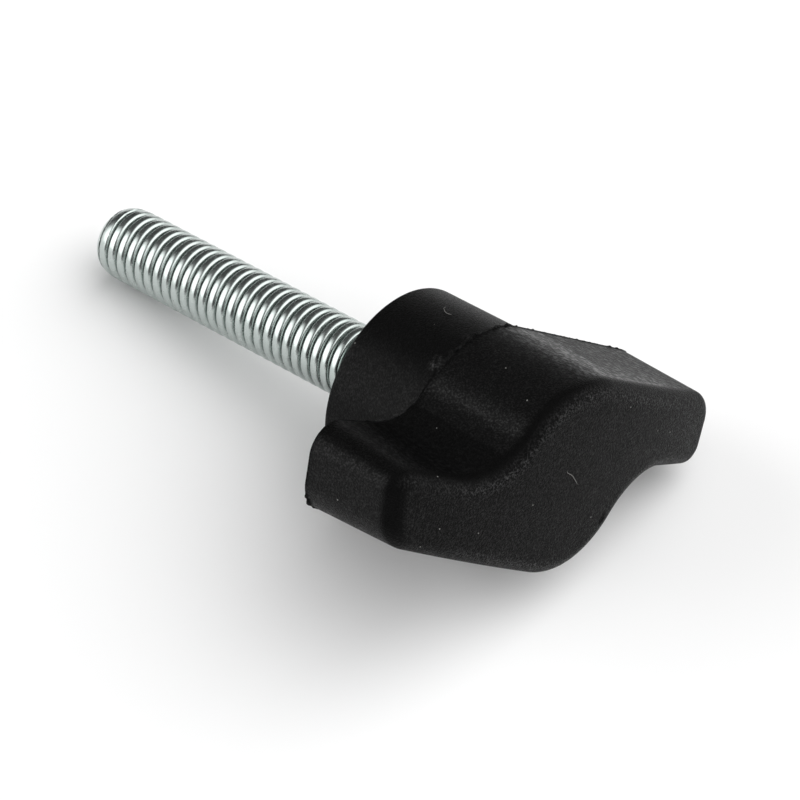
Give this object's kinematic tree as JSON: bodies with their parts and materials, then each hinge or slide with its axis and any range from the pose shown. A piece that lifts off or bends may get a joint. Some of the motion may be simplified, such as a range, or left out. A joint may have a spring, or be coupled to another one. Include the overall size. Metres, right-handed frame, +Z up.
{
  "type": "wing clamping knob",
  "caption": "S-shaped plastic wing grip moulded in one with a round boss, on a zinc-plated threaded steel stud, lying at rest.",
  "frame": {"origin": "centre of the boss's seating face, on the axis of the stud", "axes": "+Z up from the surface that the knob lies on; +X along the stud's axis as seen from above, from the free end toward the wings; the axis rises 9.62 degrees toward the wings, because the knob lies on the bevel of the stud, the rim of the boss and the end of one wing"},
  "size_m": [0.0487, 0.0354, 0.0189],
  "materials": {
    "grip_plastic": "black glass-filled nylon with a fine spark-eroded grain",
    "zinc_plated_steel": "bright zinc plating on a rolled thread"
  },
  "bodies": {
    "root": {"wing_grip": "grip_plastic", "threaded_stud": "zinc_plated_steel"}
  },
  "joints": []
}
